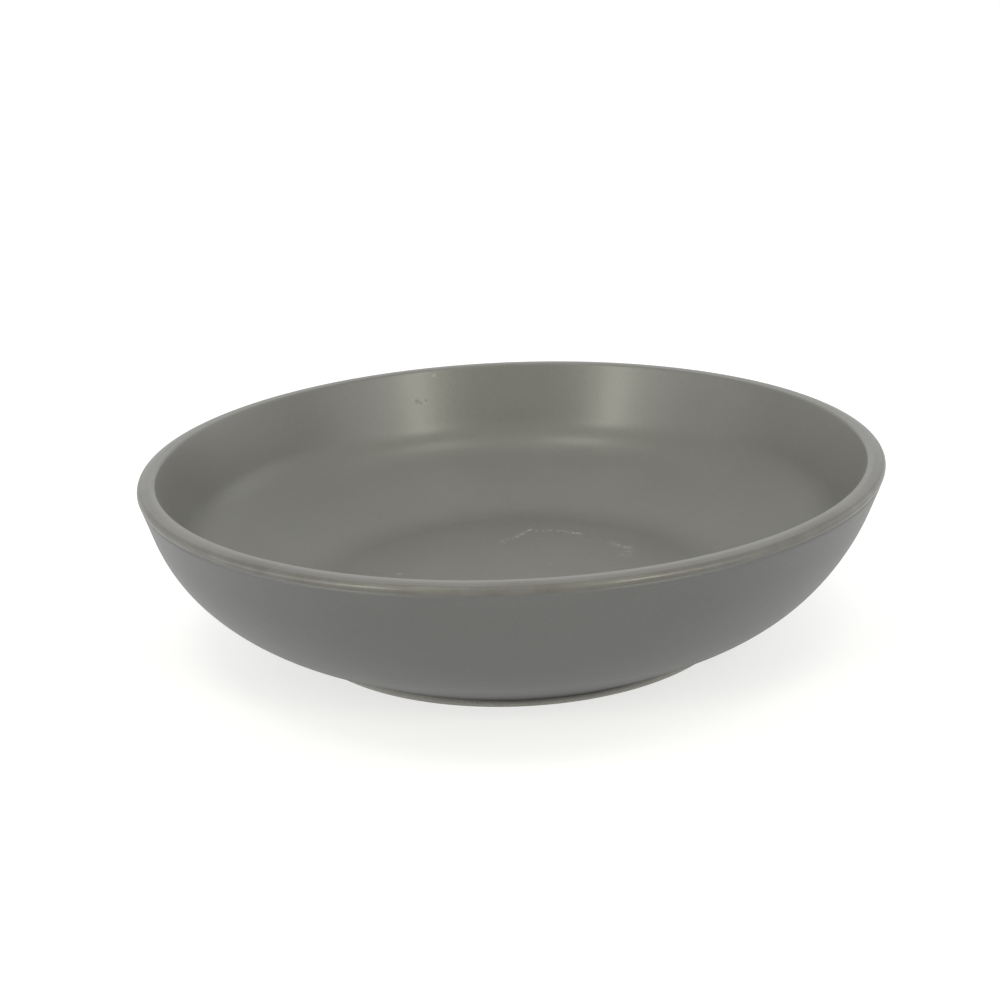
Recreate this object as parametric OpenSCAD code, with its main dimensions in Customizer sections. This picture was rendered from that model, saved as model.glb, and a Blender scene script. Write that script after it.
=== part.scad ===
// Salad bowl in grey stoneware: a round shell on a luted foot ring, under a satin glaze.
// Millimetres. +Z is up, and the origin is the centre of the foot ring on the table.
// The bowl is a figure of revolution, so each piece is one outline carried round the Z axis.

/* [Bowl] */
// Diameter over the finished rim
rim_d = 250; // [236:1:290]
// Height of the finished rim above the table
height = 60; // [53:0.5:75]
// Thickness of the finished wall below the rim
wall = 6.2; // [4.8:0.1:7.6]
// Thickness of the finished wall above the foot
heel_wall = 8.4; // [7:0.1:10]
// Thickness of the floor, with the glaze that lies on it
floor_t = 9.5; // [7.5:0.1:11]

/* [Belly] */
// How far the rim leans out past the corner that the belly's bend rounds off
rim_lean = 11.8; // [8:0.2:16]
// Height of that corner above the table
belly_h = 23.2; // [20:0.2:27]
// Radius of the belly's bend on the outside
belly_r = 64; // [45:1:75]
// Radius of the belly's bend on the inside
inside_r = 24; // [16:1:40]
// Radius of the bend from the inside wall to the floor
floor_bend = 40; // [10:1:55]

/* [Rim] */
// Radius of the rim's outer edge
lip_out_r = 1.7; // [1.2:0.1:2.4]
// Radius of the rim's inner edge
lip_in_r = 1; // [0.7:0.1:1.4]
// How much lower the rim is at its outer edge than at its inner edge
lip_fall = 0.5; // [0.2:0.1:1]
// Strip of wall below the rim's outer edge that the inside glaze runs over
lip_band = 0.3; // [0.2:0.1:4]

/* [Foot ring] */
// Diameter at which the wall ends above the foot ring
heel_d = 151; // [139:1:163]
// Radius of the edge where the wall ends
heel_edge = 0.6; // [0.3:0.1:1.2]
// How far the foot ring is set in from that edge
foot_set = 0.7; // [0.4:0.1:3]
// Width of the foot ring
foot_w = 7; // [5:0.5:12]
// Height of the foot ring
foot_h = 2.9; // [2.2:0.1:4]
// Radius of the edges on which the foot ring stands
foot_edge = 0.8; // [0.3:0.1:0.9]
// Radius of the groove between the foot ring and the wall above it
foot_groove = 0.8; // [0.3:0.1:1.2]

/* [Glaze] */
// Thickness of a coat of glaze
glaze = 0.4; // [0.3:0.05:0.6]
// Height above the table to which the foot ring is wiped clean of glaze
wiped_h = 1; // [0.9:0.05:1.2]
// Radius of the glaze that pools in the corner of the recess
pool_r = 0.5; // [0.2:0.1:0.6]

/* [Hidden] */
$fn = 240;

// How much larger an arc is than the one that would only touch its sides
arc_ease = 0.004;

// How far past its chord a bend reaches, so that no two outlines share a side
chord_ease = 0.1;

glaze_colour = [0.44, 0.44, 0.42];
clay_colour = [0.50, 0.46, 0.41];

// Points and directions in the outlines are [radius, height]
across = [1, 0];

function unit(v) = v / norm(v);
function left(v) = [-v.y, v.x];
function turned(v, angle) = [v.x * cos(angle) - v.y * sin(angle), v.x * sin(angle) + v.y * cos(angle)];

// Point where the line through p along u crosses the line through q along v
function crossing(p, u, q, v) = p + u * (cross(q - p, v) / cross(u, v));

// Length of a straight side that a bend of radius r takes up between directions u and v
function bend_length(r, u, v) = r * tan(acos(u * v) / 2);

// The outer wall runs straight from the heel to the belly, and on to touch the rim's outer edge
heel = [heel_d / 2, foot_h];
belly = [rim_d / 2 - rim_lean, belly_h];
lip_centre = [rim_d / 2 - lip_out_r, height - lip_fall - lip_out_r];
to_lip = lip_centre - belly;
low_dir = unit(belly - heel);
up_dir = turned(unit(to_lip), -asin(lip_out_r / norm(to_lip)));

// The top of the rim falls from its inner edge to its outer edge, and touches both their arcs
crest_centre = crossing(belly + (wall - lip_in_r) * left(up_dir), up_dir, [0, height - lip_in_r], across);
top_run = lip_centre - crest_centre;
top_dir = turned(unit(top_run), asin((lip_out_r - lip_in_r) / norm(top_run)));

// Foot ring
foot_out = heel_d / 2 - foot_set;
foot_in = foot_out - foot_w;

// Corners of the bowl at a depth under its finished surface, each with its radius:
// heel, belly, rim outside, rim inside, belly inside, edge of the floor, middle of the floor
function section(depth) =
    let (
        low_out = belly + depth * left(low_dir),
        up_out = belly + depth * left(up_dir),
        up_in = belly + (wall - depth) * left(up_dir),
        low_in = belly + (heel_wall - depth) * left(low_dir),
        top = crest_centre + (lip_in_r - depth) * left(top_dir),
        floor_mid = [0, foot_h + floor_t - depth]
    )
    [
        [crossing(heel, across, low_out, low_dir), depth > 0 ? 0 : heel_edge],
        [crossing(low_out, low_dir, up_out, up_dir), belly_r - depth],
        [crossing(up_out, up_dir, top, top_dir), lip_out_r - depth],
        [crossing(top, top_dir, up_in, up_dir), lip_in_r - depth],
        [crossing(up_in, up_dir, low_in, low_dir), inside_r + depth],
        [crossing(low_in, low_dir, floor_mid, across), floor_bend + depth],
        [floor_mid, 0]
    ];

finished = section(0);
clay = section(glaze);

// Joint on the outside, below the rim, where the inside glaze meets the outside glaze
joint = finished[2][0] - up_dir * (bend_length(lip_out_r, up_dir, -top_dir) + lip_band);
joint_face = [[joint, 0], [joint + glaze * left(up_dir), 0]];

function part_of(corners, from, to) = [for (i = [from : to]) corners[i]];
function reverse(list) = [for (i = [len(list) - 1 : -1 : 0]) list[i]];

// A bend at corner b between points a and c: [start, corner, end, centre, radius, side]
function bend(a, b, c, r) =
    let (
        u = unit(b - a),
        v = unit(c - b),
        side = sign(cross(u, v)),
        start = b - u * bend_length(r, u, v)
    )
    [start, b, b + v * bend_length(r, u, v), start + left(u) * r * side, r, side];

// What lies between a bend's chord and its arc, and a little past the chord. The circle is a hair
// larger than the one that would only touch the two sides, so that it crosses them at clear points.
module bend_fill(b) {
    middle = (b[0] + b[2]) / 2;
    intersection() {
        polygon([b[0], b[1], b[2], middle + chord_ease * unit(middle - b[1])]);
        translate(b[3]) circle(b[4] + arc_ease);
    }
}

// Polygon of [point, radius] corners, anticlockwise, with true arcs at the corners
module rounded(corners) {
    n = len(corners);
    bends = [for (i = [0 : n - 1])
        bend(corners[(i + n - 1) % n][0], corners[i][0], corners[(i + 1) % n][0], corners[i][1])];
    difference() {
        union() {
            polygon([for (b = bends) each b[4] > 0 ? [b[0], b[2]] : [b[1]]]);
            for (b = bends) if (b[4] > 0 && b[5] > 0) bend_fill(b);
        }
        for (b = bends) if (b[4] > 0 && b[5] < 0) bend_fill(b);
    }
}

// The clay shell, whose flat underside takes the foot ring
module bowl_body() {
    color(clay_colour) rotate_extrude() rounded(concat([[[0, foot_h], 0]], clay));
}

// The bare ring that the bowl stands on, luted under the shell, with a groove all round the joint
module foot_ring() {
    color(clay_colour) rotate_extrude() rounded([
        [[foot_in, 0], foot_edge],
        [[foot_out, 0], foot_edge],
        [[foot_out, foot_h], foot_groove],
        [[foot_in, foot_h], 0]
    ]);
}

// The coat on the floor and the inside wall, carried over the rim to the joint below it
module inside_glaze() {
    color(glaze_colour) rotate_extrude() rounded(concat(
        [joint_face[0]], part_of(finished, 2, 6), reverse(part_of(clay, 2, 6)), [joint_face[1]]
    ));
}

// The coat on the outside wall, from the joint below the rim down to the heel
module outside_glaze() {
    color(glaze_colour) rotate_extrude() rounded(concat(
        part_of(finished, 0, 1), joint_face, reverse(part_of(clay, 0, 1))
    ));
}

// The coat that lines the recess under the bowl, down the inside of the foot ring
module underside_glaze() {
    color(glaze_colour) rotate_extrude() rounded([
        [[0, foot_h - glaze], 0],
        [[foot_in - glaze, foot_h - glaze], pool_r],
        [[foot_in - glaze, wiped_h], 0],
        [[foot_in, wiped_h], 0],
        [[foot_in, foot_h], 0],
        [[0, foot_h], 0]
    ]);
}

bowl_body();
foot_ring();
inside_glaze();
outside_glaze();
underside_glaze();
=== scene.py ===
"""Glazed stoneware salad bowl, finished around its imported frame.

The bowl is a figure of revolution. Every piece is an outline of [radius, height] corners with
rounded bends, carried round the Z axis as one grid of points. Lengths are metres, +Z is up, and
the origin is the centre of the foot ring on the table.
"""

import math

import bpy
import numpy as np
from bpy.props import FloatProperty, FloatVectorProperty, IntProperty, PointerProperty
from mathutils import Matrix, Vector


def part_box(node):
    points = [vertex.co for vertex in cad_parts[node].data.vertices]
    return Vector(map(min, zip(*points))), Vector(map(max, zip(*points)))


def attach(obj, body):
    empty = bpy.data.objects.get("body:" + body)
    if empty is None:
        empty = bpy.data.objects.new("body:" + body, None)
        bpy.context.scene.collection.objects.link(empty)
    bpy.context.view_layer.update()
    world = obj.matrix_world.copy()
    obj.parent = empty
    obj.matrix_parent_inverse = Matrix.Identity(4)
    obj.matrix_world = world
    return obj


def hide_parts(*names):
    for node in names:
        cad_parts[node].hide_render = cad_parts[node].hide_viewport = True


bl_info = {
    "name": "Stoneware Salad Bowl",
    "version": (1, 0, 0),
    "blender": (4, 5, 0),
    "location": "View3D > Sidebar > Bowl",
    "description": "Builds a glazed stoneware salad bowl, its foot ring and its studio",
    "category": "Add Mesh",
}

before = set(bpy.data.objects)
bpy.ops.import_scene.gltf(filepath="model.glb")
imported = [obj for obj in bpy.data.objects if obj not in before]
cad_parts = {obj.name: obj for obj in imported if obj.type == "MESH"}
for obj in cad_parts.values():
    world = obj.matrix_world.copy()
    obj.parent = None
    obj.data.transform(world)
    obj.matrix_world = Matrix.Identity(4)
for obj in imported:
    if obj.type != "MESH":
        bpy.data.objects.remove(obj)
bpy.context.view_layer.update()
CLAY_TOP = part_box("bowl_body")[1]
INSIDE_LOW, INSIDE_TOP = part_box("inside_glaze")
OUTSIDE_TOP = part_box("outside_glaze")[1]
FOOT_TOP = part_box("foot_ring")[1]
RECESS_LOW, RECESS_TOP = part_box("underside_glaze")

ACROSS = np.array([1.0, 0.0])
BEND = "bend"
MILLIMETRE = 0.001

# A point nearer to the axis than this is on it
ON_AXIS = 1e-9

# Sockets of a colour mix node
MIX_FACTOR, MIX_A, MIX_B, MIX_RESULT = 0, 6, 7, 2

# Sizes in metres of the noises in the glaze, in the clay and in a chalky stroke
CLOUD_SIZE = 0.035
GRAIN_SIZE = 0.0011
PEEL_SIZE = 0.003
PATCH_SIZE = 0.008
SAND_SIZE = 0.0007
WANDER_SIZE = 0.004
SKIP_SIZE = 0.0018

# Range in which most values of a noise lie, and narrower ones that give clear patches and gaps
NOISE_RANGE = (0.3, 0.7)
PATCH_RANGE = (0.35, 0.65)
SKIP_RANGE = (0.46, 0.62)

# Tones that a colour takes between the two ends of a noise's range
CLOUD_TONES = (0.955, 1.045)
GRAIN_TONES = (0.965, 1.035)
SAND_TONES = (0.9, 1.1)

# The thin colour on the lip's edges is the thin glaze's brown, darkened further as painted shade
# Bend at which the glaze starts to thin, and bends at which it is thin, elsewhere and in a thin spot
THIN_AND_SHADE_START = 0.1
THIN_AND_SHADE_FULL = (0.5, 0.22)

# Shares of the thin colour, elsewhere and in a thin spot, and between patches and in a patch
SPOT_SHARES = (0.85, 1.0)
PATCH_SHARES = (0.6, 1.0)

# Shares of a spot's radius and of a stroke's width over which its mask is full
SPOT_CORE = 0.3
STROKE_CORE = 0.35

# Tone of the clay at the foot, and tones of the painted shade in the groove, elsewhere and in its darkest
# spots
FOOT_TONE = 1.15
GROOVE_SHADE_TONES = (0.65, 0.2)

# Shares of the groove's height between which the clay's tone becomes the painted shade's
GROOVE_SHADE_START = 0.25
GROOVE_SHADE_FULL = 0.85

# Bumps of the glaze and of the clay, and how much the grain adds to the glaze's beside the peel
GLAZE_BUMP = {"Strength": 0.1, "Distance": 0.0004}
CLAY_BUMP = {"Strength": 0.4, "Distance": 0.0003}
GRAIN_RISE = 0.8

# Index of refraction of the glaze
GLAZE_IOR = 1.5

# How many steps long one step is on the outside and underneath, which have no fine forms
PLAIN_STEPS = 2

# Width in millimetres of the camera's sensor
SENSOR_WIDTH = 36.0

# Chalky strokes on the floor, from x and y to x and y, with a half width and a strength
SCUFFS = (
    ((-0.0040, 0.0415), (0.0028, 0.0490), 0.0015, 0.40),
    ((0.0028, 0.0490), (0.0060, 0.0535), 0.0013, 0.58),
    ((0.0060, 0.0535), (0.0140, 0.0525), 0.0013, 0.65),
    ((0.0140, 0.0525), (0.0256, 0.0473), 0.0013, 0.70),
    ((0.0354, 0.0357), (0.0418, 0.0294), 0.0026, 0.36),
    ((0.0418, 0.0294), (0.0391, 0.0218), 0.0024, 0.33),
    ((-0.0413, 0.0133), (-0.0400, 0.0137), 0.0014, 0.45),
    ((0.0123, 0.0163), (0.0129, 0.0163), 0.0010, 0.35),
    ((0.0190, 0.0104), (0.0202, 0.0100), 0.0010, 0.30),
)

# Stretches of the rim where the glaze ran thin and its painted shade is darker, as x, y and z with a
# radius
THIN_GLAZE_AND_SHADE_SPOTS = (
    ((-0.0731, -0.1006, 0.0580), 0.030),
    ((-0.1170, -0.0400, 0.0580), 0.034),
    ((0.0010, -0.1243, 0.0580), 0.014),
    ((0.1180, -0.0380, 0.0580), 0.040),
    ((0.0920, -0.0830, 0.0580), 0.026),
    ((0.0986, 0.0757, 0.0580), 0.020),
    ((-0.0622, 0.1076, 0.0580), 0.024),
)

# Stretches of the groove above the foot where its painted shade is darkest, as x, y and z with a radius
GROOVE_SHADE_SPOTS = (
    ((0.0100, -0.0740, 0.0025), 0.042),
    ((-0.0600, 0.0440, 0.0025), 0.050),
    ((0.0660, 0.0350, 0.0025), 0.040),
)

# Pinholes in the glaze high on the inside wall, as x, y and z with a radius
PINHOLES = (
    ((-0.0362, 0.1097, 0.0487), 0.0013),
    ((-0.0349, 0.1100, 0.0478), 0.0009),
    ((-0.0327, 0.1108, 0.0486), 0.0007),
)

# A nick in the rim's inner edge at the back, as x, y and z with a radius, and its strength
NICKS = (((-0.0291, 0.1149, 0.0577), 0.0011),)
NICK_STRENGTH = 0.3


def length(name, default, description):
    """A length in metres that a user can change."""
    return FloatProperty(name=name, description=description, default=default, unit="LENGTH", precision=5)


def amount(name, default, description):
    """A plain number that a user can change."""
    return FloatProperty(name=name, description=description, default=default, precision=4)


def angle(name, degrees, description):
    """An angle that a user can change, stored in radians."""
    default = math.radians(degrees)
    return FloatProperty(name=name, description=description, default=default, unit="ROTATION")


def colour(name, default, description):
    """A scene linear colour that a user can change."""
    return FloatVectorProperty(
        name=name, description=description, default=default, subtype="COLOR", size=3, min=0.0, max=1.0
    )


class BowlShape(bpy.types.PropertyGroup):
    """Sizes of the bowl's section"""

    rim_radius: length("Rim radius", INSIDE_TOP.x, "Radius over the finished rim")
    height: length("Height", INSIDE_TOP.z, "Height of the finished rim above the table")
    wall: length("Wall", 0.0062, "Thickness of the finished wall below the rim")
    heel_wall: length("Heel wall", 0.0084, "Thickness of the finished wall above the foot")
    floor: length("Floor", INSIDE_LOW.z + INSIDE_TOP.z - CLAY_TOP.z, "Height of the finished floor")
    rim_lean: length("Rim lean", 0.0118, "How far the rim leans out past the belly's corner")
    belly_height: length("Belly height", 0.0232, "Height of the belly's corner above the table")
    belly_bend: length("Belly bend", 0.064, "Radius of the belly's bend on the outside")
    inside_bend: length("Inside bend", 0.024, "Radius of the belly's bend on the inside")
    floor_bend: length("Floor bend", 0.040, "Radius of the bend from the inside wall to the floor")
    lip_outer: length("Lip outer edge", 0.0017, "Radius of the rim's outer edge")
    lip_inner: length("Lip inner edge", 0.001, "Radius of the rim's inner edge")
    lip_fall: length("Lip fall", 0.0005, "How much lower the rim is outside than inside")
    crown_bend: length("Crown bend", 0.006, "Radius of the crown along the top of the rim")
    crown_tilt: angle("Crown tilt", 12.5, "How far each side of the crown falls from the top's line")
    crown_lift: length("Crown lift", 0.0004, "Height of the crown's corner over the top's line")
    heel_radius: length("Heel radius", 0.0755, "Radius at which the wall ends above the foot ring")
    heel_edge: length("Heel edge", 0.0006, "Radius of the edge where the wall ends")
    # Up to this height the outside glaze is painted darker as shade above the foot
    heel_shade: length("Heel shade", 0.017, "Height to which the glaze above the foot is thin and dry")
    foot_outer: length("Foot outer radius", FOOT_TOP.x, "Outer radius of the foot ring")
    foot_inner: length("Foot inner radius", RECESS_TOP.x, "Inner radius of the foot ring")
    foot_height: length("Foot height", FOOT_TOP.z, "Height of the foot ring")
    foot_edge: length("Foot edge", 0.0008, "Radius of the edges on which the foot ring stands")
    foot_groove: length("Foot groove", 0.0008, "Radius of the groove above the foot ring")
    glaze: length("Glaze", INSIDE_TOP.z - CLAY_TOP.z, "Thickness of a coat of glaze")
    joint_height: length("Glaze joint", OUTSIDE_TOP.z, "Height of the joint between the two coats")
    wiped_height: length("Wiped height", RECESS_LOW.z, "Height to which the foot ring is wiped clean")
    pool_bend: length("Pool bend", 0.0005, "Radius of the glaze that pools in the recess")
    sway: length("Sway", 0.001, "How far the fired wall leans to the left at mid height")
    wall_ring: length("Wall ring", 0.1020, "Radius of the faint ridge low on the inside wall")
    wall_ring_lift: length("Wall ring lift", 0.00006, "Height of that ridge")
    wall_ring_width: length("Wall ring width", 0.006, "Half width of that ridge")
    floor_ring: length("Floor ring", 0.067, "Radius of the faint groove round the floor")
    floor_ring_depth: length("Floor ring depth", 0.00003, "Depth of that groove")
    floor_ring_width: length("Floor ring width", 0.0048, "Half width of that groove")
    segments: IntProperty(name="Segments", description="Points round the bowl", default=480, min=48)
    step: length("Step", 0.001, "Distance between points along a surface that shows")
    hidden_step: length("Hidden step", 0.006, "Distance between points along a surface that is covered")


class BowlFinish(bpy.types.PropertyGroup):
    """Colours and skins of the clay and the glaze"""

    inside: colour("Inside glaze", (0.117, 0.116, 0.109), "Glaze on the inside and over the rim")
    outside: colour("Outside glaze", (0.0836, 0.0843, 0.0875), "Glaze on the outside and underneath")
    # Thin glaze's brown, made darker as painted shade on the lip's edges
    thin: colour("Thin glaze", (0.070, 0.066, 0.058), "Where the glaze is thin over an edge")
    clay: colour("Clay", (0.318, 0.313, 0.302), "Bare fired stoneware")
    pit: colour("Pinholes", (0.045, 0.043, 0.038), "Small pits in the glaze")
    scuff: colour("Scuffs", (0.340, 0.340, 0.325), "Chalky marks rubbed into the floor")
    # Lighter tone of the floor's glaze, painted light on the upward-facing floor
    painted_floor_light_tone: amount("Floor tone", 1.07, "Tone of the glaze that pooled on the floor")
    # Darker tone of the glaze above the foot, painted shade
    heel_shade_tone: amount("Heel tone", 0.55, "Tone of the thin glaze above the foot")
    heel_dryness: amount("Heel dryness", 0.35, "Roughness that the thin glaze above the foot gains")
    recess_tone: amount("Recess tone", 0.9, "Tone of the glaze low in the recess")
    recess_dryness: amount("Recess dryness", 0.1, "Roughness that the glaze low in the recess gains")
    roughness: amount("Inside roughness", 0.41, "Roughness of the satin glaze inside")
    sheen: amount("Inside sheen", 0.2, "Weight of the smoother skin on the glaze inside")
    sheen_roughness: amount("Sheen roughness", 0.25, "Roughness of that skin")
    outer_roughness: amount("Outside roughness", 0.45, "Roughness of the glaze outside")
    scuff_dryness: amount("Scuff dryness", 0.3, "Roughness that a scuff adds to the glaze")
    clay_roughness: amount("Clay roughness", 0.85, "Roughness of the bare clay")


class BowlStudio(bpy.types.PropertyGroup):
    """Camera and light"""

    distance: length("Camera distance", 0.625, "From the camera to the centre of the rim")
    elevation: angle("Camera elevation", 17.154, "Angle of the camera above the rim")
    roll: angle("Camera roll", 2.344, "Turn of the camera about its line of sight")
    lens: amount("Lens", 66.286, "Focal length in millimetres on a 36 mm sensor")
    shift_x: amount("Shift across", -0.0102, "Camera shift across, as a share of the frame")
    shift_y: amount("Shift up", -0.0484, "Camera shift up, as a share of the frame")
    floor_size: length("Floor size", 12.0, "Side of the pale floor")
    floor_pale: amount("Floor tone", 0.85, "Tone of the floor to the light that it throws on the bowl")
    floor_seen: amount("Seen floor tone", 0.4, "Tone of the floor as it is seen, which keeps the shadow")
    floor_glow: amount("Floor glow", 0.65, "Glow that makes the floor white as it is seen")
    world: amount("World light", 0.9, "Strength of the soft light at the sides, which grows to the back")
    strips: amount("Strip lamps", 5.4, "Base power in watts of the tall lamps in front")
    fronts: amount("Front lamps", 2.1, "Base power in watts of the panels beside the tall lamps")
    sides: amount("Side lamps", 2.0, "Base power in watts of the panels at the sides")
    highs: amount("High lamps", 1.5, "Base power in watts of the lamps above")


def unit(v):
    """The direction of v."""
    return v / np.hypot(*v)


def left(v):
    """v turned a quarter turn to the left."""
    return np.array([-v[1], v[0]])


def turned(v, by):
    """v turned to the left by an angle."""
    return math.cos(by) * v + math.sin(by) * left(v)


def turn(u, v):
    """Angle from direction u to direction v, positive to the left."""
    return math.atan2(u[0] * v[1] - u[1] * v[0], u @ v)


def crossing(p, u, q, v):
    """Point where the line through p along u crosses the line through q along v."""
    w = q - p
    return p + u * ((w[0] * v[1] - w[1] * v[0]) / (u[0] * v[1] - u[1] * v[0]))


def lip_centre(shape):
    """Centre of the rim's outer edge, which reaches the rim's radius."""
    return np.array([shape.rim_radius - shape.lip_outer, shape.height - shape.lip_fall - shape.lip_outer])


def wall_directions(shape):
    """Corner of the belly, and the directions of the outer wall below it and above it.

    The upper wall runs from the belly's corner to touch the circle of the rim's outer edge.
    """
    belly = np.array([shape.rim_radius - shape.rim_lean, shape.belly_height])
    heel = np.array([shape.heel_radius, shape.foot_height])
    to_lip = lip_centre(shape) - belly
    up = turned(unit(to_lip), -math.asin(shape.lip_outer / np.hypot(*to_lip)))
    return belly, unit(belly - heel), up


def rim_top(shape):
    """Centre of the rim's inner edge, and the direction of the rim's top from there outwards.

    The inner edge's arc touches the inside wall and the full height. The top falls outwards, and
    is the line that touches the arcs of both edges.
    """
    belly, _, up = wall_directions(shape)
    inside = belly + (shape.wall - shape.lip_inner) * left(up)
    crest = crossing(inside, up, np.array([0.0, shape.height - shape.lip_inner]), ACROSS)
    run = lip_centre(shape) - crest
    return crest, turned(unit(run), math.asin((shape.lip_outer - shape.lip_inner) / np.hypot(*run)))


def section(shape, depth):
    """Corners of the bowl at a depth under its finished surface, each with its bend's radius.

    Each wall is a straight line at the depth, and each corner is where two lines cross: heel,
    belly, rim outside, crown, rim inside, belly inside, edge of the floor, middle of the floor.
    """
    belly, low, up = wall_directions(shape)
    low_out = belly + depth * left(low)
    up_out = belly + depth * left(up)
    up_in = belly + (shape.wall - depth) * left(up)
    low_in = belly + (shape.heel_wall - depth) * left(low)
    crest, fall = rim_top(shape)
    top = crest + (shape.lip_inner - depth) * left(fall)
    mid_wall = belly + shape.wall / 2 * left(up)
    crown = crossing(mid_wall, up, top, fall) + shape.crown_lift * left(fall)
    outer_fall = turned(fall, -shape.crown_tilt)
    inner_fall = turned(fall, shape.crown_tilt)
    heel = np.array([0.0, shape.foot_height])
    middle = np.array([0.0, shape.floor - depth])
    return [
        (crossing(heel, ACROSS, low_out, low), 0.0 if depth else shape.heel_edge),
        (crossing(low_out, low, up_out, up), shape.belly_bend - depth),
        (crossing(up_out, up, crown, outer_fall), shape.lip_outer - depth),
        (crown, shape.crown_bend - depth),
        (crossing(crown, inner_fall, up_in, up), shape.lip_inner - depth),
        (crossing(up_in, up, low_in, low), shape.inside_bend + depth),
        (crossing(low_in, low, middle, ACROSS), shape.floor_bend + depth),
        (middle, 0.0),
    ]


def joint_face(shape):
    """The two corners of the joint below the rim where the inside coat meets the outside coat."""
    belly, _, up = wall_directions(shape)
    face = belly + up * ((shape.joint_height - belly[1]) / up[1])
    return [(face, 0.0), (face + shape.glaze * left(up), 0.0)]


def bend_of(radius):
    """How sharp an arc is: one for a radius of a millimetre or less, and less for a wider one."""
    return min(1.0, MILLIMETRE / radius)


def outline(corners, closed, step, bend_steps=7):
    """Points along a path of corners, each an arc that touches both of its sides, and their bends.

    An arc starts at the corner less tan(half the turn) times its radius. Arcs and straight sides
    are divided into steps, an arc into bend_steps at least. A bend to the left is positive, and a
    straight side has none.
    """
    count = len(corners)
    runs = []
    bends = []
    for i, (corner, radius) in enumerate(corners):
        if radius <= 0 or (not closed and i in (0, count - 1)):
            runs.append(corner[None])
            bends.append(np.zeros(1))
            continue
        u = unit(corner - corners[i - 1][0])
        v = unit(corners[(i + 1) % count][0] - corner)
        sweep = turn(u, v)
        start = corner - u * radius * math.tan(abs(sweep) / 2)
        centre = start + left(u) * math.copysign(radius, sweep)
        number = max(bend_steps, math.ceil(abs(sweep) * radius / step)) + 1
        angles = np.linspace(0.0, sweep, number)[:, None]
        arm = start - centre
        runs.append(centre + np.cos(angles) * arm + np.sin(angles) * left(arm))
        bends.append(np.full(number, math.copysign(bend_of(radius), sweep)))
    ends = runs[1:] + runs[:1] if closed else runs[1:]
    points = []
    values = []
    for i, run in enumerate(runs):
        points.append(run)
        values.append(bends[i])
        if i < len(ends):
            a, b = run[-1], ends[i][0]
            number = max(1, math.ceil(np.hypot(*(b - a)) / step))
            shares = np.arange(1, number)[:, None] / number
            points.append(a + (b - a) * shares)
            values.append(np.zeros(number - 1))
    return np.concatenate(points), np.concatenate(values)


def marked(points, marks):
    """Points of a path lifted to their right by ridges, each a (radius, lift, half width).

    A ridge is lift times exp(-(d / width)^2), where d is the distance along the path from the
    point nearest to its radius. A groove has a negative lift.
    """
    along = np.concatenate([[0.0], np.cumsum(np.hypot(*np.diff(points, axis=0).T))])
    tangents = np.gradient(points, along, axis=0)
    rights = np.stack([tangents[:, 1], -tangents[:, 0]], axis=1)
    lifts = np.zeros(len(points))
    for radius, lift, width in marks:
        middle = along[np.argmin(np.abs(points[:, 0] - radius))]
        lifts += lift * np.exp(-(((along - middle) / width) ** 2))
    return points + lifts[:, None] * rights


def carried_round(points, shape):
    """Vertices and faces of an outline carried round the Z axis.

    x is the radius times the cosine of the turn, y the radius times its sine, and z the height.
    The wall sways by sin^2(pi z / height), which leaves the foot and the rim in place.
    An outline that ends on the axis closes in a pole at each end, and any other closes on itself.
    """
    segments = shape.segments
    turns = np.arange(segments) * (2 * math.pi / segments)
    poles = points[0, 0] < ON_AXIS
    rings = points[1:-1] if poles else points
    sways = shape.sway * np.sin(np.pi * rings[:, 1:2] / shape.height) ** 2
    x = np.outer(rings[:, 0], np.cos(turns)) - sways
    y = np.outer(rings[:, 0], np.sin(turns))
    z = np.repeat(rings[:, 1:2], segments, axis=1)
    vertices = np.stack([x, y, z], axis=2).reshape(-1, 3)
    rows = len(rings)
    row = np.arange(rows - 1 if poles else rows)[:, None]
    near = row * segments
    far = (row + 1) % rows * segments
    here = np.arange(segments)[None]
    there = (here + 1) % segments
    faces = np.stack([near + here, near + there, far + there, far + here], axis=2).reshape(-1, 4)
    if not poles:
        return vertices, faces, np.zeros((0, 3), int)
    ends = np.array([[-sways[0, 0], 0.0, points[0, 1]], [-sways[-1, 0], 0.0, points[-1, 1]]])
    first = rows * segments
    last = (rows - 1) * segments
    start = np.stack([np.full(segments, first), there[0], here[0]], axis=1)
    finish = np.stack([np.full(segments, first + 1), last + here[0], last + there[0]], axis=1)
    return np.concatenate([vertices, ends]), faces, np.concatenate([start, finish])


def piece(name, points, bends, shape, material, node):
    """A closed mesh of an outline carried round the axis, which rides on the bowl's one body."""
    segments = shape.segments
    vertices, quads, triangles = carried_round(points, shape)
    mesh = bpy.data.meshes.new(name)
    mesh.vertices.add(len(vertices))
    mesh.vertices.foreach_set("co", vertices.astype(np.float32).ravel())
    corners = np.concatenate([quads.ravel(), triangles.ravel()])
    mesh.loops.add(len(corners))
    mesh.loops.foreach_set("vertex_index", corners.astype(np.int32))
    sizes = np.concatenate([np.full(len(quads), 4), np.full(len(triangles), 3)])
    mesh.polygons.add(len(sizes))
    mesh.polygons.foreach_set("loop_start", (np.cumsum(sizes) - sizes).astype(np.int32))
    mesh.polygons.foreach_set("use_smooth", np.ones(len(sizes), bool))
    mesh.update(calc_edges=True)
    ring_bends = bends[1:-1] if points[0, 0] < ON_AXIS else bends
    values = np.zeros(len(vertices), np.float32)
    values[: len(ring_bends) * segments] = np.repeat(ring_bends, segments)
    mesh.attributes.new(BEND, "FLOAT", "POINT").data.foreach_set("value", values)
    mesh.materials.append(material)
    made = bpy.data.objects.new(name, mesh)
    bpy.context.scene.collection.objects.link(made)
    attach(made, "root")
    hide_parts(node)


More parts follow.
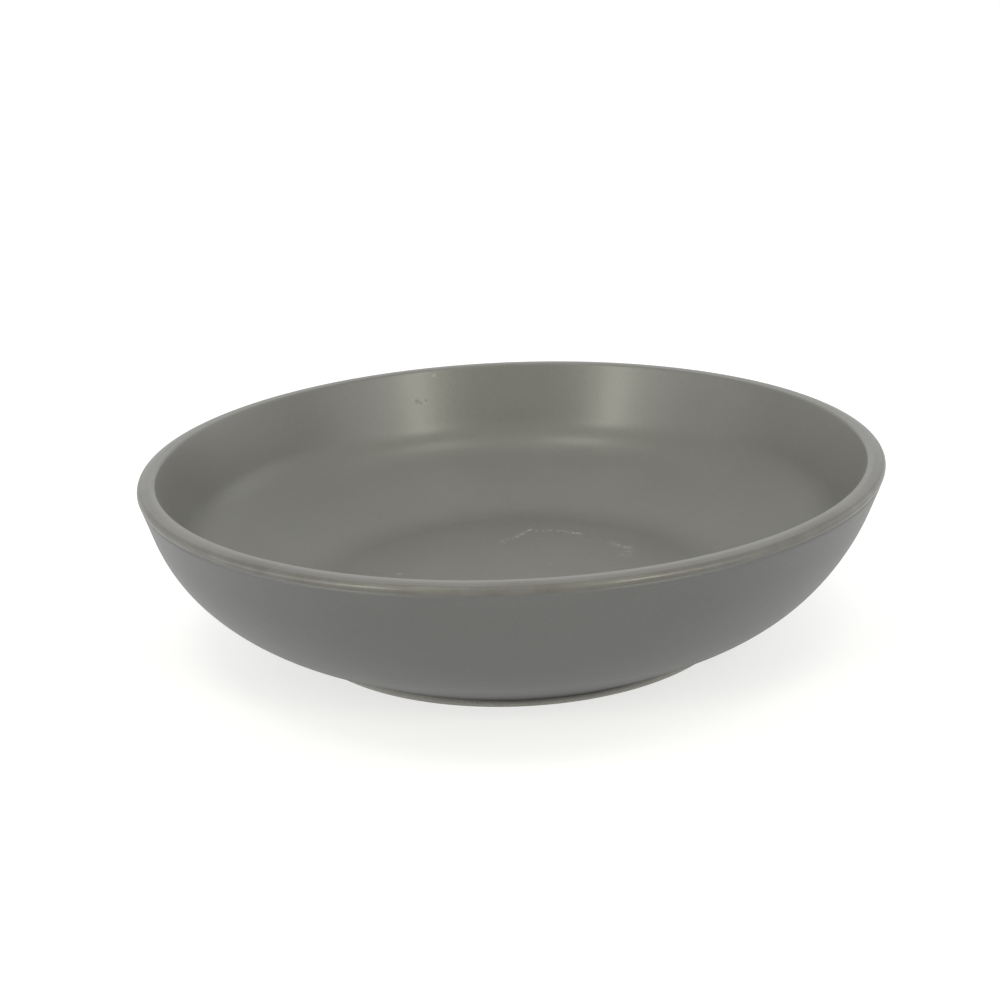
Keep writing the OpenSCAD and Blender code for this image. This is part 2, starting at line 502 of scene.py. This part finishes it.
def add_node(tree, kind, inputs=None, **settings):
    """A node with its settings, and with its inputs set to values or linked from sockets."""
    made = tree.nodes.new(kind)
    for name, value in settings.items():
        setattr(made, name, value)
    for name, value in (inputs or {}).items():
        if isinstance(value, bpy.types.NodeSocket):
            tree.links.new(value, made.inputs[name])
        else:
            made.inputs[name].default_value = value
    return made


def compute(tree, operation, a, b=0.0, c=0.0):
    """The output of a math node."""
    return add_node(tree, "ShaderNodeMath", {0: a, 1: b, 2: c}, operation=operation).outputs[0]


def vectors(tree, operation, a, b=(0.0, 0.0, 0.0), output="Vector"):
    """An output of a vector math node."""
    return add_node(tree, "ShaderNodeVectorMath", {0: a, 1: b}, operation=operation).outputs[output]


def remap(tree, value, low, high, to_low=0.0, to_high=1.0):
    """A value taken from one range to another, and held at its ends."""
    inputs = {"Value": value, "From Min": low, "From Max": high, "To Min": to_low, "To Max": to_high}
    return add_node(tree, "ShaderNodeMapRange", inputs).outputs["Result"]


def scaled(tree, vector, by):
    """A vector times a number."""
    inputs = {0: vector, "Scale": by}
    return add_node(tree, "ShaderNodeVectorMath", inputs, operation="SCALE").outputs["Vector"]


def noise(tree, place, size, detail=2.0, output="Fac"):
    """Noise whose features are about as large as a size in metres."""
    inputs = {"Vector": place, "Scale": 1.0 / size, "Detail": detail}
    return add_node(tree, "ShaderNodeTexNoise", inputs).outputs[output]


def mix_colours(tree, share, first, second):
    """The first colour with a share of the second."""
    inputs = {MIX_FACTOR: share, MIX_A: first, MIX_B: second}
    return add_node(tree, "ShaderNodeMix", inputs, data_type="RGBA").outputs[MIX_RESULT]


def spots(tree, place, centres):
    """Mask of soft round spots, each a centre with the radius at which it ends."""
    mask = 0.0
    for centre, radius in centres:
        away = vectors(tree, "DISTANCE", place, centre, "Value")
        mask = compute(tree, "MAXIMUM", remap(tree, away, SPOT_CORE * radius, radius, 1.0, 0.0), mask)
    return mask


def new_group(name, inputs, outputs):
    """An empty node group, with the sockets that lead into it and out of it."""
    tree = bpy.data.node_groups.new(name, "ShaderNodeTree")
    for label, kind in inputs:
        tree.interface.new_socket(label, in_out="INPUT", socket_type="NodeSocket" + kind)
    for label, kind in outputs:
        tree.interface.new_socket(label, in_out="OUTPUT", socket_type="NodeSocket" + kind)
    return tree, add_node(tree, "NodeGroupInput").outputs, add_node(tree, "NodeGroupOutput").inputs


def glaze_group():
    """Node group of a satin glaze: clouded tone, fine grain, and a thin colour over the lip that is
    partly thin glaze and partly painted shade.
    """
    name = "satin_glaze"
    if name in bpy.data.node_groups:
        return bpy.data.node_groups[name]
    tree, given, result = new_group(
        name,
        (("Color", "Color"), ("Thin Glaze And Shade Color", "Color"), ("Roughness", "Float")),
        (("Color", "Color"), ("Roughness", "Float"), ("Height", "Float")),
    )
    place = add_node(tree, "ShaderNodeTexCoord").outputs["Object"]
    bend = add_node(tree, "ShaderNodeAttribute", attribute_name=BEND).outputs["Fac"]
    cloud = noise(tree, place, CLOUD_SIZE, detail=3.0)
    grain = noise(tree, place, GRAIN_SIZE)
    peel = noise(tree, place, PEEL_SIZE, detail=1.0)
    tone = remap(tree, cloud, *NOISE_RANGE, *CLOUD_TONES)
    fine = remap(tree, grain, *NOISE_RANGE, *GRAIN_TONES)
    body = scaled(tree, given["Color"], compute(tree, "MULTIPLY", tone, fine))
    # Thin colour on the lip: partly thin glaze, partly painted shade of the lip's edges
    thin_and_shade_spots = spots(tree, place, THIN_GLAZE_AND_SHADE_SPOTS)
    over = remap(tree, bend, THIN_AND_SHADE_START, remap(tree, thin_and_shade_spots, 0.0, 1.0, *THIN_AND_SHADE_FULL))
    patchy = remap(tree, noise(tree, place, PATCH_SIZE, detail=3.0), *PATCH_RANGE, *PATCH_SHARES)
    thin_and_shade_share = remap(tree, thin_and_shade_spots, 0.0, 1.0, *SPOT_SHARES)
    thin = compute(tree, "MULTIPLY", over, compute(tree, "MULTIPLY", patchy, thin_and_shade_share))
    tree.links.new(mix_colours(tree, thin, body, given["Thin Glaze And Shade Color"]), result["Color"])
    tree.links.new(compute(tree, "MULTIPLY", given["Roughness"], tone), result["Roughness"])
    tree.links.new(compute(tree, "MULTIPLY_ADD", grain, GRAIN_RISE, peel), result["Height"])
    return tree


def stroke_group():
    """Node group of a chalky stroke from a start to an end, broken up where it skipped.

    The mask falls from one to nothing as the distance to the line between them reaches the width.
    """
    name = "chalky_stroke"
    if name in bpy.data.node_groups:
        return bpy.data.node_groups[name]
    tree, given, result = new_group(
        name,
        (("Start", "Vector"), ("End", "Vector"), ("Width", "Float"), ("Strength", "Float")),
        (("Mask", "Float"),),
    )
    place = add_node(tree, "ShaderNodeTexCoord").outputs["Object"]
    wander = vectors(tree, "SUBTRACT", noise(tree, place, WANDER_SIZE, output="Color"), (0.5, 0.5, 0.5))
    strayed = vectors(tree, "ADD", place, scaled(tree, wander, WANDER_SIZE))
    arm = vectors(tree, "SUBTRACT", strayed, given["Start"])
    line = vectors(tree, "SUBTRACT", given["End"], given["Start"])
    reach = compute(tree, "DIVIDE", vectors(tree, "DOT_PRODUCT", arm, line, "Value"),
                    vectors(tree, "DOT_PRODUCT", line, line, "Value"))
    share = add_node(tree, "ShaderNodeClamp", {"Value": reach}).outputs["Result"]
    away = vectors(tree, "DISTANCE", arm, scaled(tree, line, share), "Value")
    near = remap(tree, compute(tree, "DIVIDE", away, given["Width"]), STROKE_CORE, 1.0, 1.0, 0.0)
    skipped = remap(tree, noise(tree, place, SKIP_SIZE, detail=3.0), *SKIP_RANGE)
    mask = compute(tree, "MULTIPLY", compute(tree, "MULTIPLY", near, skipped), given["Strength"])
    tree.links.new(mask, result["Mask"])
    return tree


def new_material(name):
    """An empty node material and its output node."""
    material = bpy.data.materials.new(name)
    material.use_nodes = True
    material.node_tree.nodes.clear()
    return material, add_node(material.node_tree, "ShaderNodeOutputMaterial")


def floor_marks(tree, height):
    """Mask of the scuffs on the floor, the strongest at each point."""
    mask = 0.0
    for start, end, width, strength in SCUFFS:
        stroke = add_node(tree, "ShaderNodeGroup", node_tree=stroke_group())
        stroke.inputs["Start"].default_value = (*start, height)
        stroke.inputs["End"].default_value = (*end, height)
        stroke.inputs["Width"].default_value = width
        stroke.inputs["Strength"].default_value = strength
        mask = compute(tree, "MAXIMUM", stroke.outputs["Mask"], mask)
    return mask


def glaze_material(name, colour_value, roughness, finish, low, sheen=0.0, scuffed=False):
    """Satin glaze over stoneware, with scuffs, a nick and pinholes if it is scuffed.

    low is (height, end, tone, roughness): the tone that the colour has and the roughness that is
    added at the height. Both fade in a straight line to none at the end, which is a height too.
    The darker tone above the foot outside is painted shade, and the lighter tone on the floor
    inside is painted light.
    """
    if name in bpy.data.materials:
        return bpy.data.materials[name]
    material, out = new_material(name)
    tree = material.node_tree
    skin = add_node(tree, "ShaderNodeGroup", node_tree=glaze_group())
    skin.inputs["Color"].default_value = (*colour_value, 1.0)
    skin.inputs["Thin Glaze And Shade Color"].default_value = (*finish.thin, 1.0)
    skin.inputs["Roughness"].default_value = roughness
    place = add_node(tree, "ShaderNodeTexCoord").outputs["Object"]
    up = add_node(tree, "ShaderNodeSeparateXYZ", {0: place}).outputs["Z"]
    low_height, end_height, low_tone, low_rough = low
    tone = remap(tree, up, low_height, end_height, low_tone, 1.0)
    colour_socket = scaled(tree, skin.outputs["Color"], tone)
    dry = remap(tree, up, low_height, end_height, low_rough, 0.0)
    roughness_socket = compute(tree, "ADD", skin.outputs["Roughness"], dry)
    if scuffed:
        nicked = compute(tree, "MULTIPLY", spots(tree, place, NICKS), NICK_STRENGTH)
        mask = compute(tree, "MAXIMUM", floor_marks(tree, low_height), nicked)
        colour_socket = mix_colours(tree, mask, colour_socket, (*finish.scuff, 1.0))
        roughness_socket = compute(tree, "MULTIPLY_ADD", mask, finish.scuff_dryness, roughness_socket)
        pits = spots(tree, place, PINHOLES)
        colour_socket = mix_colours(tree, pits, colour_socket, (*finish.pit, 1.0))
    bump = add_node(tree, "ShaderNodeBump", {"Height": skin.outputs["Height"], **GLAZE_BUMP})
    shader = add_node(tree, "ShaderNodeBsdfPrincipled", {
        "Base Color": colour_socket,
        "Roughness": roughness_socket,
        "Normal": bump.outputs["Normal"],
        "IOR": GLAZE_IOR,
        "Coat Weight": sheen,
        "Coat Roughness": finish.sheen_roughness,
    })
    tree.links.new(shader.outputs["BSDF"], out.inputs["Surface"])
    return material


def clay_material(finish, groove):
    """Bare fired stoneware, matt and sandy, and darker towards a groove's height with painted shade."""
    name = "fired_stoneware"
    if name in bpy.data.materials:
        return bpy.data.materials[name]
    material, out = new_material(name)
    tree = material.node_tree
    place = add_node(tree, "ShaderNodeTexCoord").outputs["Object"]
    up = add_node(tree, "ShaderNodeSeparateXYZ", {0: place}).outputs["Z"]
    sand = noise(tree, place, SAND_SIZE, detail=3.0)
    tone = remap(tree, sand, *NOISE_RANGE, *SAND_TONES)
    # Painted shade of the groove above the foot ring, darkest in a few spots
    dark = remap(tree, spots(tree, place, GROOVE_SHADE_SPOTS), 0.0, 1.0, *GROOVE_SHADE_TONES)
    groove_shade = remap(tree, up, GROOVE_SHADE_START * groove, GROOVE_SHADE_FULL * groove, FOOT_TONE, dark)
    base = scaled(tree, tuple(finish.clay), compute(tree, "MULTIPLY", tone, groove_shade))
    bump = add_node(tree, "ShaderNodeBump", {"Height": sand, **CLAY_BUMP})
    inputs = {"Base Color": base, "Roughness": finish.clay_roughness, "Normal": bump.outputs["Normal"]}
    shader = add_node(tree, "ShaderNodeBsdfPrincipled", inputs)
    tree.links.new(shader.outputs["BSDF"], out.inputs["Surface"])
    return material


class BOWL_OT_body(bpy.types.Operator):
    """Build the clay shell under the glaze"""

    bl_idname = "salad_bowl.body"
    bl_label = "Bowl Body"

    def execute(self, context):
        shape = context.scene.bowl_shape
        start = (np.array([0.0, shape.foot_height]), 0.0)
        points, bends = outline([start] + section(shape, shape.glaze), False, shape.hidden_step)
        material = clay_material(context.scene.bowl_finish, shape.foot_height)
        piece("clay_body", points, bends, shape, material, "bowl_body")
        return {"FINISHED"}


class BOWL_OT_foot(bpy.types.Operator):
    """Build the bare ring that the bowl stands on"""

    bl_idname = "salad_bowl.foot"
    bl_label = "Foot Ring"

    def execute(self, context):
        shape = context.scene.bowl_shape
        inner, outer, top = shape.foot_inner, shape.foot_outer, shape.foot_height
        corners = [
            (np.array([inner, 0.0]), shape.foot_edge),
            (np.array([outer, 0.0]), shape.foot_edge),
            (np.array([outer, top]), shape.foot_groove),
            (np.array([inner, top]), 0.0),
        ]
        points, bends = outline(corners, True, shape.step)
        material = clay_material(context.scene.bowl_finish, shape.foot_height)
        piece("foot_of_clay", points, bends, shape, material, "foot_ring")
        return {"FINISHED"}


class BOWL_OT_inside(bpy.types.Operator):
    """Coat the inside and the rim with glaze"""

    bl_idname = "salad_bowl.inside"
    bl_label = "Inside Glaze"

    def execute(self, context):
        shape = context.scene.bowl_shape
        finish = context.scene.bowl_finish
        outer_face, inner_face = joint_face(shape)
        under = section(shape, shape.glaze)[:1:-1]
        covered, covered_bends = outline(under + [inner_face], False, shape.hidden_step)
        shown, shown_bends = outline([outer_face] + section(shape, 0.0)[2:], False, shape.step)
        shown = marked(shown, (
            (shape.wall_ring, shape.wall_ring_lift, shape.wall_ring_width),
            (shape.floor_ring, -shape.floor_ring_depth, shape.floor_ring_width),
        ))
        # The coat is full over the rim's inner edge, and as thin at the joint as on the outer edge, where
        # its colour is partly painted shade
        shown_bends[shown_bends >= bend_of(shape.lip_inner)] = 0.0
        shown_bends[0] = shown_bends.max()
        points = np.concatenate([covered, shown])
        bends = np.concatenate([covered_bends, shown_bends])
        # The floor's glaze is painted lighter as painted light falling on it
        painted_floor_light_end = 2 * shape.floor
        painted_floor_light = (shape.floor, painted_floor_light_end, finish.painted_floor_light_tone, 0.0)
        material = glaze_material(
            "satin_inside", finish.inside, finish.roughness, finish, painted_floor_light, finish.sheen, True
        )
        piece("glaze_inside", points, bends, shape, material, "inside_glaze")
        return {"FINISHED"}


class BOWL_OT_outside(bpy.types.Operator):
    """Coat the outside wall with glaze"""

    bl_idname = "salad_bowl.outside"
    bl_label = "Outside Glaze"

    def execute(self, context):
        shape = context.scene.bowl_shape
        finish = context.scene.bowl_finish
        skin = section(shape, 0.0)[:2]
        under = section(shape, shape.glaze)[1::-1]
        points, bends = outline(skin + joint_face(shape) + under, True, PLAIN_STEPS * shape.step)
        # The glaze above the foot is painted darker as shade, and made rougher
        heel = (shape.foot_height, shape.heel_shade, finish.heel_shade_tone, finish.heel_dryness)
        material = glaze_material("satin_outside", finish.outside, finish.outer_roughness, finish, heel)
        piece("glaze_outside", points, bends, shape, material, "outside_glaze")
        return {"FINISHED"}


class BOWL_OT_underside(bpy.types.Operator):
    """Coat the recess inside the foot ring with glaze"""

    bl_idname = "salad_bowl.underside"
    bl_label = "Underside Glaze"

    def execute(self, context):
        shape = context.scene.bowl_shape
        finish = context.scene.bowl_finish
        low = shape.foot_height - shape.glaze
        edge = shape.foot_inner - shape.glaze
        corners = [
            (np.array([0.0, low]), 0.0),
            (np.array([edge, low]), shape.pool_bend),
            (np.array([edge, shape.wiped_height]), 0.0),
            (np.array([shape.foot_inner, shape.wiped_height]), 0.0),
            (np.array([shape.foot_inner, shape.foot_height]), 0.0),
            (np.array([0.0, shape.foot_height]), 0.0),
        ]
        points, bends = outline(corners, False, PLAIN_STEPS * shape.step)
        recess = (shape.wiped_height, shape.foot_height, finish.recess_tone, finish.recess_dryness)
        material = glaze_material("satin_recess", finish.outside, finish.outer_roughness, finish, recess)
        piece("glaze_underside", points, bends, shape, material, "underside_glaze")
        return {"FINISHED"}


def seen_rays(tree):
    """One for the rays that see a surface or its reflection, and nothing for those that light it."""
    path = add_node(tree, "ShaderNodeLightPath").outputs
    direct = compute(tree, "MAXIMUM", path["Is Camera Ray"], path["Is Glossy Ray"])
    return compute(tree, "MAXIMUM", direct, path["Is Transmission Ray"])


def grey(level):
    """A colour that is the same in red, green and blue."""
    return (level, level, level, 1.0)


def floor_material(studio):
    """Pale floor that keeps the shadow, and looks white to the camera and in reflections."""
    material, out = new_material("pale_floor")
    tree = material.node_tree
    pale = add_node(tree, "ShaderNodeBsdfDiffuse", {"Color": grey(studio.floor_pale)})
    soft = add_node(tree, "ShaderNodeBsdfDiffuse", {"Color": grey(studio.floor_seen)})
    glow = add_node(tree, "ShaderNodeEmission", {"Color": grey(1.0), "Strength": studio.floor_glow})
    white = add_node(tree, "ShaderNodeAddShader", {0: soft.outputs[0], 1: glow.outputs[0]})
    inputs = {0: seen_rays(tree), 1: pale.outputs[0], 2: white.outputs[0]}
    mixed = add_node(tree, "ShaderNodeMixShader", inputs)
    tree.links.new(mixed.outputs[0], out.inputs["Surface"])
    return material


def lamps(studio):
    """The lamps, each at the angle that its highlight on the bowl asks for.

    A row holds a name, degrees from the camera's side, distance, height, width, length, power and
    tint. The power is the base power of such lamps, times the lamp's own share of it.
    """
    warm = (1.0, 0.99, 0.82)
    white = (1.0, 1.0, 1.0)
    return (
        ("left_strip", -42.5, 1.2, 0.62, 0.14, 0.5, studio.strips, warm),
        ("right_strip", 35.0, 1.2, 0.62, 0.14, 0.5, 1.08 * studio.strips, warm),
        ("left_front", -56.0, 1.5, 0.34, 0.6, 0.6, 1.1 * studio.fronts, white),
        ("right_front", 56.0, 1.5, 0.38, 0.6, 0.6, 1.3 * studio.fronts, white),
        ("left_side", -80.0, 1.5, 0.25, 0.8, 0.44, 1.25 * studio.sides, white),
        ("right_side", 110.0, 1.5, 0.5, 1.0, 0.7, 1.1 * studio.sides, white),
        ("left_high", -52.0, 0.45, 1.1, 0.25, 0.25, 1.3 * studio.highs, warm),
        ("right_high", 50.0, 0.45, 1.1, 0.25, 0.25, studio.highs, warm),
    )


def area_lamp(name, place, target, size, power, tint):
    """A rectangular soft lamp that faces a point."""
    light = bpy.data.lights.new(name, "AREA")
    light.shape = "RECTANGLE"
    light.size, light.size_y = size
    light.energy = power
    light.color = tint
    lamp = bpy.data.objects.new(name, light)
    lamp.location = place
    lamp.rotation_euler = (Vector(place) - Vector(target)).to_track_quat("Z", "Y").to_euler()
    lamp.visible_camera = False
    bpy.context.scene.collection.objects.link(lamp)


def photo_camera(studio, target):
    """A camera that looks at the centre of the rim from its elevation, turned by its roll."""
    e = studio.elevation
    back = Vector((0.0, -math.cos(e), math.sin(e)))
    across = Vector((1.0, 0.0, 0.0))
    up = back.cross(across)
    turned_across = math.cos(studio.roll) * across - math.sin(studio.roll) * up
    turned_up = math.cos(studio.roll) * up + math.sin(studio.roll) * across
    data = bpy.data.cameras.new("photo_camera")
    data.lens = studio.lens
    data.sensor_width = SENSOR_WIDTH
    data.shift_x = studio.shift_x
    data.shift_y = studio.shift_y
    camera = bpy.data.objects.new("photo_camera", data)
    axes = Matrix((turned_across, turned_up, back)).transposed()
    camera.matrix_world = Matrix.Translation(Vector(target) + back * studio.distance) @ axes.to_4x4()
    bpy.context.scene.collection.objects.link(camera)
    bpy.context.scene.camera = camera


def white_world(studio):
    """Surroundings that are white to the camera and in reflections, and light the bowl from behind.

    The light falls in a straight line from twice the world's strength at +Y to nothing at -Y.
    """
    world = bpy.data.worlds.new("white_studio")
    world.use_nodes = True
    tree = world.node_tree
    tree.nodes.clear()
    direction = add_node(tree, "ShaderNodeTexCoord").outputs["Generated"]
    behind = add_node(tree, "ShaderNodeSeparateXYZ", {0: direction}).outputs["Y"]
    soft = compute(tree, "MULTIPLY_ADD", behind, studio.world, studio.world)
    level = remap(tree, seen_rays(tree), 0.0, 1.0, soft, 1.0)
    back = add_node(tree, "ShaderNodeBackground", {"Color": grey(1.0), "Strength": level})
    out = add_node(tree, "ShaderNodeOutputWorld")
    tree.links.new(back.outputs[0], out.inputs["Surface"])
    return world


class BOWL_OT_stage(bpy.types.Operator):
    """Set the floor, the light and the camera"""

    bl_idname = "salad_bowl.stage"
    bl_label = "Studio"

    def execute(self, context):
        scene = context.scene
        studio = scene.bowl_studio
        target = (0.0, 0.0, scene.bowl_shape.height)
        half = studio.floor_size / 2
        mesh = bpy.data.meshes.new("floor")
        corners = [(-half, -half, 0), (half, -half, 0), (half, half, 0), (-half, half, 0)]
        mesh.from_pydata(corners, [], [(0, 1, 2, 3)])
        mesh.materials.append(floor_material(studio))
        floor = bpy.data.objects.new("floor", mesh)
        scene.collection.objects.link(floor)
        for name, degrees, distance, height, width, tall, power, tint in lamps(studio):
            turn_to = math.radians(degrees)
            place = (distance * math.sin(turn_to), -distance * math.cos(turn_to), height)
            area_lamp(name, place, target, (width, tall), power, tint)
        scene.world = white_world(studio)
        scene.view_settings.view_transform = "Standard"
        photo_camera(studio, target)
        return {"FINISHED"}


class BOWL_PT_pieces(bpy.types.Panel):
    """Pieces of the bowl"""

    bl_idname = "BOWL_PT_pieces"
    bl_label = "Salad Bowl"
    bl_space_type = "VIEW_3D"
    bl_region_type = "UI"
    bl_category = "Bowl"

    def draw(self, context):
        for operator in OPERATORS:
            self.layout.operator(operator.bl_idname)


GROUPS = {"bowl_shape": BowlShape, "bowl_finish": BowlFinish, "bowl_studio": BowlStudio}
OPERATORS = (
    BOWL_OT_stage,
    BOWL_OT_body,
    BOWL_OT_foot,
    BOWL_OT_inside,
    BOWL_OT_outside,
    BOWL_OT_underside,
)


def register():
    """Register the bowl's settings, operators and panel."""
    for name, group in GROUPS.items():
        bpy.utils.register_class(group)
        setattr(bpy.types.Scene, name, PointerProperty(type=group))
    for operator in OPERATORS:
        bpy.utils.register_class(operator)
    bpy.utils.register_class(BOWL_PT_pieces)


def unregister():
    """Take the panel, the operators and the settings away again."""
    bpy.utils.unregister_class(BOWL_PT_pieces)
    for operator in reversed(OPERATORS):
        bpy.utils.unregister_class(operator)
    for name, group in GROUPS.items():
        delattr(bpy.types.Scene, name)
        bpy.utils.unregister_class(group)


def main():
    """Build the stage and the pieces."""
    register()
    bpy.ops.salad_bowl.stage()
    bpy.ops.salad_bowl.body()
    bpy.ops.salad_bowl.foot()
    bpy.ops.salad_bowl.inside()
    bpy.ops.salad_bowl.outside()
    bpy.ops.salad_bowl.underside()


if __name__ == "__main__":
    main()
